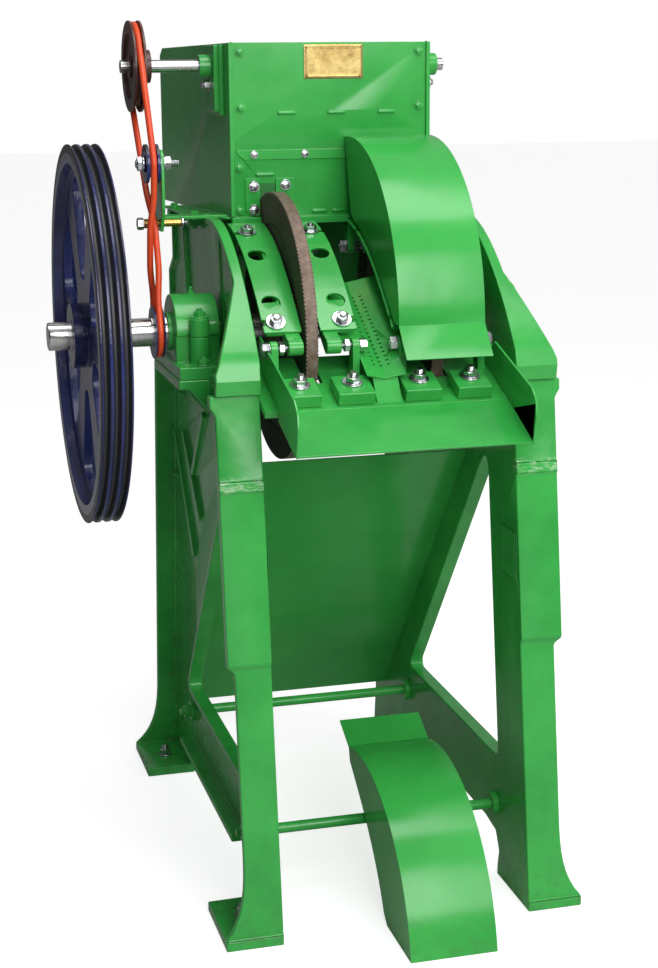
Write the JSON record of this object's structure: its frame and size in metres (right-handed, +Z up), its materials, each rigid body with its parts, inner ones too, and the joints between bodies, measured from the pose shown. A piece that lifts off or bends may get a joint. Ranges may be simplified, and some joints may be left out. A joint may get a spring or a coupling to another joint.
{
  "type": "coffee disc pulper",
  "caption": "Green cast-iron coffee pulper with rasp discs between adjustable chops, a sheet-metal hopper, a belt-driven feed shaft and a large grooved drive pulley.",
  "frame": {"origin": "on the floor, at the middle of the four foot bolt holes", "axes": "+Z up, +Y from the discharge side to the back, +X along the main shaft to the end without the pulley"},
  "size_m": [0.953, 1.2306, 1.6847],
  "materials": {
    "green_enamel": "gloss enamel over castings and sheet",
    "bright_steel": "bright turned steel",
    "zinc_plated": "zinc-plated fasteners",
    "disc_iron": "bare brown-grey casting",
    "blue_enamel": "gloss navy enamel",
    "brown_enamel": "red-brown paint, worn at the rim",
    "belt_rubber": "orange-red round belt",
    "brass": "aged brass"
  },
  "bodies": {
    "frame": {"left_leg": "green_enamel", "right_leg": "green_enamel", "left_cheek": "green_enamel", "right_cheek": "green_enamel", "tie_rods": "green_enamel", "tie_rod_nuts": "green_enamel", "frame_bolts": "zinc_plated", "bearing_bases": "green_enamel", "bearing_caps": "green_enamel", "bearing_bushes": "brass", "drive_belt": "belt_rubber", "feed_bearings": "green_enamel", "jockey_bracket": "green_enamel", "belt_bolts": "zinc_plated", "guide_bush": "brass", "hopper_front": "green_enamel", "hopper_left_side": "green_enamel", "hopper_right_side": "green_enamel", "hopper_back": "green_enamel", "hopper_bolts": "zinc_plated", "gate_plates": "green_enamel", "nameplate": "brass", "discharge_tray": "green_enamel", "chop_bed": "green_enamel", "base_blocks": "green_enamel", "base_bolts": "zinc_plated", "disc_apron": "green_enamel", "pulp_chute": "green_enamel"},
    "shaft": {"main_shaft": "bright_steel", "shaft_keys": "bright_steel", "left_disc": "disc_iron", "right_disc": "disc_iron", "drive_pulley": "blue_enamel", "drive_sheave": "blue_enamel"},
    "feed": {"feed_shaft": "bright_steel", "feed_pulley": "brown_enamel", "feed_agitator": "green_enamel"},
    "jockey": {"jockey_pulley": "blue_enamel"},
    "chop_1": {"chop_bar_1": "green_enamel", "chop_plate_1": "green_enamel", "chop_bolts_1": "zinc_plated"},
    "low_screw_1": {"lower_screw_1": "zinc_plated"},
    "high_screw_1": {"upper_screw_1": "zinc_plated"},
    "chop_2": {"chop_bar_2": "green_enamel", "chop_plate_2": "green_enamel", "chop_bolts_2": "zinc_plated"},
    "low_screw_2": {"lower_screw_2": "zinc_plated"},
    "high_screw_2": {"upper_screw_2": "zinc_plated"},
    "chop_3": {"chop_bar_3": "green_enamel", "chop_plate_3": "green_enamel", "chop_bolts_3": "zinc_plated"},
    "low_screw_3": {"lower_screw_3": "zinc_plated"},
    "high_screw_3": {"upper_screw_3": "zinc_plated"},
    "chop_4": {"chop_bar_4": "green_enamel", "chop_plate_4": "green_enamel", "chop_bolts_4": "zinc_plated"},
    "low_screw_4": {"lower_screw_4": "zinc_plated"},
    "high_screw_4": {"upper_screw_4": "zinc_plated"},
    "cover": {"disc_cover": "green_enamel"},
    "spare_cover": {"loose_cover": "green_enamel"}
  },
  "joints": [
    {"name": "shaft_turn", "type": "hinge", "parent": "frame", "child": "shaft", "pos_m": [0, -0.0906, 1.096], "axis": [1, 0, 0], "continuous": true},
    {"name": "feed_turn", "type": "hinge", "parent": "frame", "child": "feed", "pos_m": [0, 0.088, 1.596], "axis": [1, 0, 0], "continuous": true},
    {"name": "jockey_turn", "type": "hinge", "parent": "frame", "child": "jockey", "pos_m": [-0.374, -0.078, 1.416], "axis": [1, 0, 0], "continuous": true},
    {"name": "chop_1_gap", "type": "slide", "parent": "frame", "child": "chop_1", "axis": [-1, 0, 0], "range_m": [-0.00175, 0.00262]},
    {"name": "low_screw_1_turn", "type": "hinge", "parent": "chop_1", "child": "low_screw_1", "pos_m": [-0.1655, -0.356, 1.094], "axis": [-1, 0, 0], "range_deg": [-360, 540]},
    {"name": "high_screw_1_turn", "type": "hinge", "parent": "chop_1", "child": "high_screw_1", "pos_m": [-0.1655, -0.01, 1.24], "axis": [-1, 0, 0], "range_deg": [-360, 540]},
    {"name": "chop_2_gap", "type": "slide", "parent": "frame", "child": "chop_2", "axis": [1, 0, 0], "range_m": [-0.00175, 0.00262]},
    {"name": "low_screw_2_turn", "type": "hinge", "parent": "chop_2", "child": "low_screw_2", "pos_m": [-0.0935, -0.356, 1.094], "axis": [1, 0, 0], "range_deg": [-360, 540]},
    {"name": "high_screw_2_turn", "type": "hinge", "parent": "chop_2", "child": "high_screw_2", "pos_m": [-0.0935, -0.01, 1.24], "axis": [1, 0, 0], "range_deg": [-360, 540]},
    {"name": "chop_3_gap", "type": "slide", "parent": "frame", "child": "chop_3", "axis": [-1, 0, 0], "range_m": [-0.00175, 0.00262]},
    {"name": "low_screw_3_turn", "type": "hinge", "parent": "chop_3", "child": "low_screw_3", "pos_m": [0.0775, -0.356, 1.094], "axis": [-1, 0, 0], "range_deg": [-360, 540]},
    {"name": "high_screw_3_turn", "type": "hinge", "parent": "chop_3", "child": "high_screw_3", "pos_m": [0.0775, -0.01, 1.24], "axis": [-1, 0, 0], "range_deg": [-360, 540]},
    {"name": "chop_4_gap", "type": "slide", "parent": "frame", "child": "chop_4", "axis": [1, 0, 0], "range_m": [-0.00175, 0.00262]},
    {"name": "low_screw_4_turn", "type": "hinge", "parent": "chop_4", "child": "low_screw_4", "pos_m": [0.1495, -0.356, 1.094], "axis": [1, 0, 0], "range_deg": [-360, 540]},
    {"name": "high_screw_4_turn", "type": "hinge", "parent": "chop_4", "child": "high_screw_4", "pos_m": [0.1495, -0.01, 1.24], "axis": [1, 0, 0], "range_deg": [-360, 540]},
    {"name": "cover_lift", "type": "slide", "parent": "frame", "child": "cover", "axis": [0, -0.5, 0.866], "range_m": [0, 0.25]},
    {"name": "spare_cover_lift", "type": "slide", "parent": "frame", "child": "spare_cover", "axis": [0, -0.5, 0.866], "range_m": [0, 0.2]}
  ],
  "couplings": [
    {"joint": "feed_turn", "follows": "shaft_turn", "ratio": -0.55},
    {"joint": "jockey_turn", "follows": "shaft_turn", "ratio": -1.375},
    {"joint": "low_screw_1_turn", "follows": "chop_1_gap", "rad_per_m": 3590.7},
    {"joint": "high_screw_1_turn", "follows": "chop_1_gap", "rad_per_m": 3590.7},
    {"joint": "low_screw_2_turn", "follows": "chop_2_gap", "rad_per_m": 3590.7},
    {"joint": "high_screw_2_turn", "follows": "chop_2_gap", "rad_per_m": 3590.7},
    {"joint": "low_screw_3_turn", "follows": "chop_3_gap", "rad_per_m": 3590.7},
    {"joint": "high_screw_3_turn", "follows": "chop_3_gap", "rad_per_m": 3590.7},
    {"joint": "low_screw_4_turn", "follows": "chop_4_gap", "rad_per_m": 3590.7},
    {"joint": "high_screw_4_turn", "follows": "chop_4_gap", "rad_per_m": 3590.7}
  ]
}
